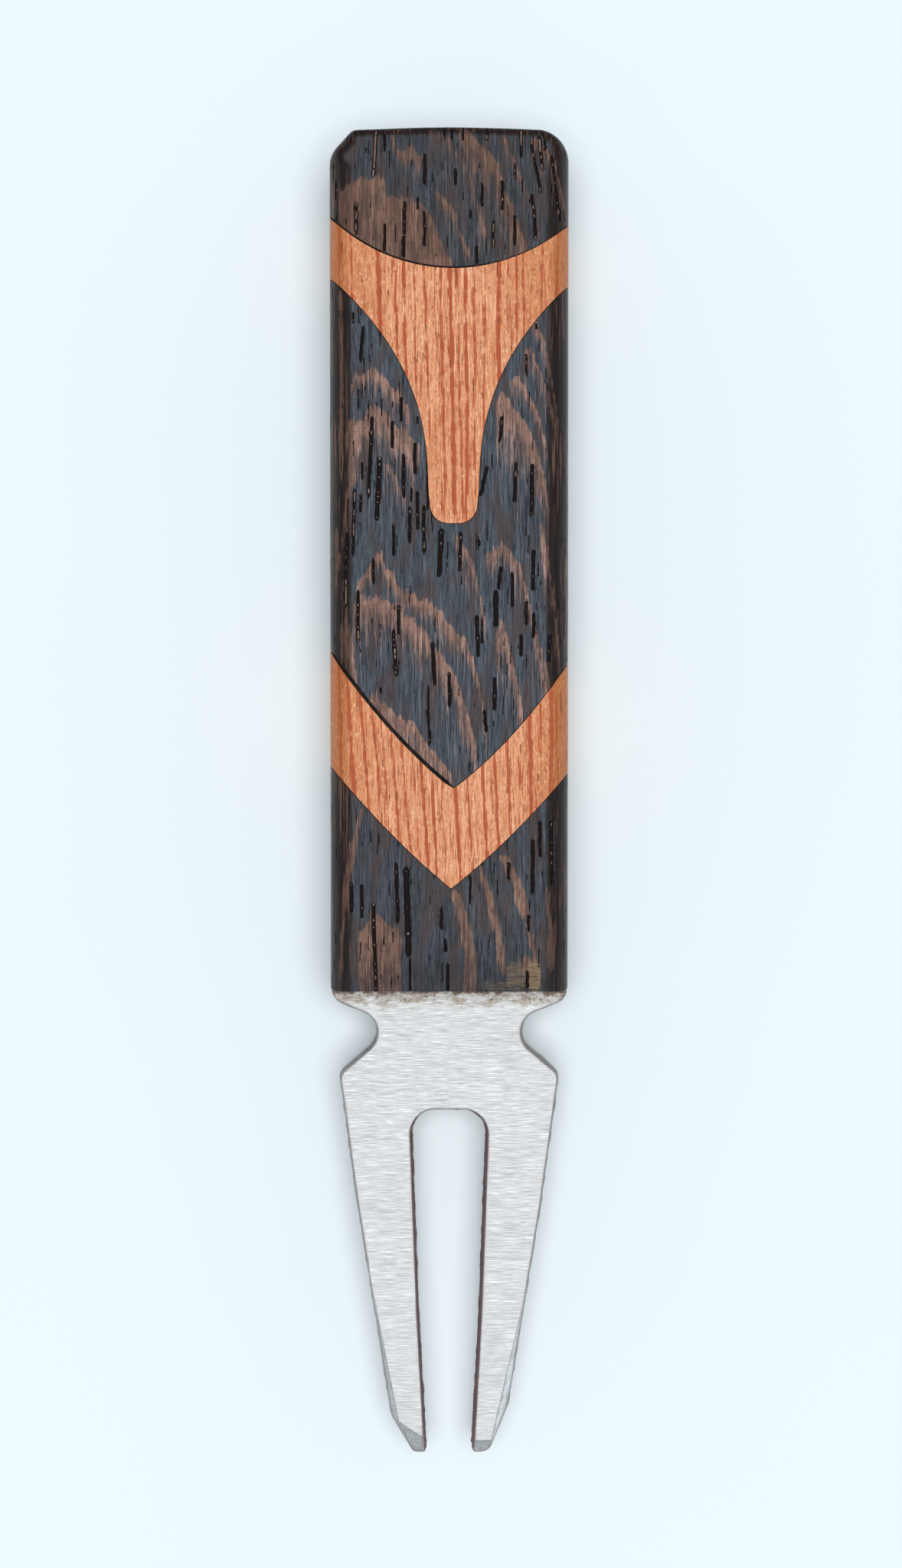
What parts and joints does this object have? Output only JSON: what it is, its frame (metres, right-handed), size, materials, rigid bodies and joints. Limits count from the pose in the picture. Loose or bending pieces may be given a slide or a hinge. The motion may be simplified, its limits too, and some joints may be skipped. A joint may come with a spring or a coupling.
{
  "type": "divot repair tool",
  "caption": "Flat two-pronged golf divot repair tool: a full-tang steel fork plate between wooden scales with a golf-tee inlay and a chevron inlay.",
  "frame": {"origin": "under the middle of the tool's bounding box, on the surface that the back scale lies on", "axes": "+X across the handle, +Y from the tips of the fork towards the end of the handle, +Z out of the front face"},
  "size_m": [0.019, 0.106, 0.0127],
  "materials": {
    "dark_wood": "wenge, sanded and oiled, open pores",
    "orange_wood": "orange-pink striped hardwood, sanded and oiled",
    "brushed_steel": "brushed across the width, dark cut edges",
    "black_epoxy": "cured black seam glue",
    "clear_epoxy": "cured amber bonding glue"
  },
  "bodies": {
    "root": {"fork_plate": "brushed_steel", "front_bond_film": "clear_epoxy", "back_bond_film": "clear_epoxy", "front_crown_block": "dark_wood", "front_tee_inlay": "orange_wood", "front_middle_block": "dark_wood", "front_chevron_inlay": "orange_wood", "front_base_block": "dark_wood", "front_crown_seam_glue": "black_epoxy", "front_tee_seam_glue": "black_epoxy", "front_chevron_upper_seam_glue": "black_epoxy", "front_chevron_lower_seam_glue": "black_epoxy", "back_crown_block": "dark_wood", "back_tee_inlay": "orange_wood", "back_middle_block": "dark_wood", "back_chevron_inlay": "orange_wood", "back_base_block": "dark_wood", "back_crown_seam_glue": "black_epoxy", "back_tee_seam_glue": "black_epoxy", "back_chevron_upper_seam_glue": "black_epoxy", "back_chevron_lower_seam_glue": "black_epoxy"}
  },
  "joints": []
}
